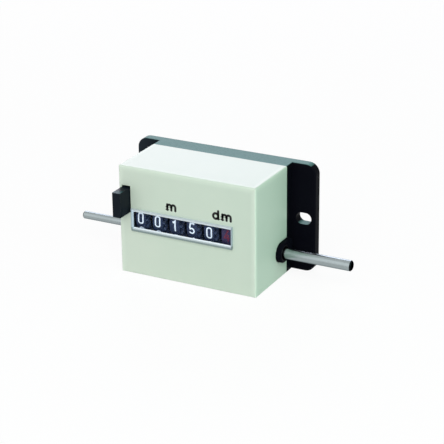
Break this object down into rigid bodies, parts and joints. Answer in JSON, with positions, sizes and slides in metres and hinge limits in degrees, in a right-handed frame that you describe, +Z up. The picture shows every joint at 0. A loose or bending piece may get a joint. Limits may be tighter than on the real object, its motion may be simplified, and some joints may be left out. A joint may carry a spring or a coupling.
{
  "type": "mechanical digit counter",
  "caption": "Mechanical metre counter in a moulded housing: number wheels behind a window, a shaft through both sides, a push key that resets it and a slotted base plate.",
  "frame": {"origin": "on the back face of the base, midway between the two mounting slots", "axes": "+Y points out of the back face, towards the surface that the counter is screwed to; +X runs along the shaft to the right as seen from the front; +Z is up"},
  "size_m": [0.1128, 0.0405, 0.042],
  "materials": {
    "housing_plastic": "satin moulded plastic, pale grey-green",
    "clear_lens": "clear moulded plastic with a frosted bevel",
    "black_plastic": "satin moulded plastic, black",
    "bush_plastic": "smooth bearing plastic, black",
    "plated_sheet": "zinc-plated sheet",
    "bright_steel": "bright drawn steel",
    "spring_steel": "spring steel",
    "shaft_steel": "ground steel",
    "gear_brass": "machined brass",
    "gear_plastic": "natural moulded plastic",
    "wheel_plastic": "satin moulded plastic, dark navy",
    "bail_plastic": "moulded plastic, grey",
    "key_plastic": "satin moulded plastic, black",
    "screw_steel": "zinc-plated steel"
  },
  "bodies": {
    "frame": {"housing": "housing_plastic", "window_lens": "clear_lens", "base_plate": "black_plastic", "left_bush": "bush_plastic", "right_bush": "bush_plastic", "left_side_plate": "plated_sheet", "right_side_plate": "plated_sheet", "wheel_axle": "bright_steel", "axle_clip": "spring_steel", "idler_stud": "bright_steel", "bail_rod": "bright_steel", "cover_screws": "screw_steel", "frame_screws": "screw_steel"},
    "shaft": {"drive_shaft": "shaft_steel", "shaft_clips": "spring_steel", "drive_gear": "gear_brass"},
    "idler": {"idler_gear": "gear_plastic"},
    "wheel_1": {"number_wheel_1": "wheel_plastic"},
    "wheel_2": {"number_wheel_2": "wheel_plastic"},
    "wheel_3": {"number_wheel_3": "wheel_plastic"},
    "wheel_4": {"number_wheel_4": "wheel_plastic"},
    "wheel_5": {"number_wheel_5": "wheel_plastic"},
    "wheel_6": {"number_wheel_6": "wheel_plastic", "units_gear": "gear_plastic"},
    "key": {"reset_key": "key_plastic", "key_spring": "spring_steel"},
    "bail": {"reset_bail": "bail_plastic", "pinion_axle": "bright_steel"},
    "pinion_1": {"carry_pinion_1": "gear_plastic"},
    "pinion_2": {"carry_pinion_2": "gear_plastic"},
    "pinion_3": {"carry_pinion_3": "gear_plastic"},
    "pinion_4": {"carry_pinion_4": "gear_plastic"},
    "pinion_5": {"carry_pinion_5": "gear_plastic"}
  },
  "joints": [
    {"name": "shaft_spin", "type": "hinge", "parent": "frame", "child": "shaft", "pos_m": [0, -0.0136, -0.01045], "axis": [1, 0, 0], "continuous": true},
    {"name": "idler_spin", "type": "hinge", "parent": "frame", "child": "idler", "pos_m": [0.02056, -0.02197, -0.01111], "axis": [1, 0, 0], "continuous": true},
    {"name": "wheel_6_spin", "type": "hinge", "parent": "frame", "child": "wheel_6", "pos_m": [0.01568, -0.02301, 0.00085], "axis": [1, 0, 0], "continuous": true},
    {"name": "wheel_5_spin", "type": "hinge", "parent": "frame", "child": "wheel_5", "pos_m": [0.0086, -0.02301, 0.00085], "axis": [1, 0, 0], "continuous": true},
    {"name": "wheel_4_spin", "type": "hinge", "parent": "frame", "child": "wheel_4", "pos_m": [0.00152, -0.02301, 0.00085], "axis": [1, 0, 0], "continuous": true},
    {"name": "wheel_3_spin", "type": "hinge", "parent": "frame", "child": "wheel_3", "pos_m": [-0.00556, -0.02301, 0.00085], "axis": [1, 0, 0], "continuous": true},
    {"name": "wheel_2_spin", "type": "hinge", "parent": "frame", "child": "wheel_2", "pos_m": [-0.01264, -0.02301, 0.00085], "axis": [1, 0, 0], "continuous": true},
    {"name": "wheel_1_spin", "type": "hinge", "parent": "frame", "child": "wheel_1", "pos_m": [-0.01972, -0.02301, 0.00085], "axis": [1, 0, 0], "continuous": true},
    {"name": "key_press", "type": "slide", "parent": "frame", "child": "key", "axis": [0, 1, 0], "range_m": [0, 0.004], "stiffness_N_per_m": 150, "springref_m": -0.003, "deforming": ["key_spring"]},
    {"name": "bail_swing", "type": "hinge", "parent": "frame", "child": "bail", "pos_m": [0, -0.011, 0.00766], "axis": [1, 0, 0], "range_deg": [-14.01, 0]},
    {"name": "pinion_5_spin", "type": "hinge", "parent": "bail", "child": "pinion_5", "pos_m": [0.01169, -0.01706, 0.01116], "axis": [1, 0, 0], "continuous": true},
    {"name": "pinion_4_spin", "type": "hinge", "parent": "bail", "child": "pinion_4", "pos_m": [0.00461, -0.01706, 0.01116], "axis": [1, 0, 0], "continuous": true},
    {"name": "pinion_3_spin", "type": "hinge", "parent": "bail", "child": "pinion_3", "pos_m": [-0.00247, -0.01706, 0.01116], "axis": [1, 0, 0], "continuous": true},
    {"name": "pinion_2_spin", "type": "hinge", "parent": "bail", "child": "pinion_2", "pos_m": [-0.00955, -0.01706, 0.01116], "axis": [1, 0, 0], "continuous": true},
    {"name": "pinion_1_spin", "type": "hinge", "parent": "bail", "child": "pinion_1", "pos_m": [-0.01663, -0.01706, 0.01116], "axis": [1, 0, 0], "continuous": true}
  ],
  "couplings": [
    {"joint": "idler_spin", "follows": "shaft_spin", "ratio": -0.75},
    {"joint": "wheel_6_spin", "follows": "shaft_spin", "ratio": 0.5},
    {"joint": "wheel_5_spin", "follows": "shaft_spin", "ratio": 0.05},
    {"joint": "wheel_4_spin", "follows": "shaft_spin", "ratio": 0.005},
    {"joint": "wheel_3_spin", "follows": "shaft_spin", "ratio": 0.0005},
    {"joint": "wheel_2_spin", "follows": "shaft_spin", "ratio": 0.00005},
    {"joint": "wheel_1_spin", "follows": "shaft_spin", "ratio": 0.000005},
    {"joint": "bail_swing", "follows": "key_press", "rad_per_m": -61.087},
    {"joint": "pinion_5_spin", "follows": "shaft_spin", "ratio": -0.125},
    {"joint": "pinion_4_spin", "follows": "shaft_spin", "ratio": -0.0125},
    {"joint": "pinion_3_spin", "follows": "shaft_spin", "ratio": -0.00125},
    {"joint": "pinion_2_spin", "follows": "shaft_spin", "ratio": -0.000125},
    {"joint": "pinion_1_spin", "follows": "shaft_spin", "ratio": -0.0000125}
  ]
}
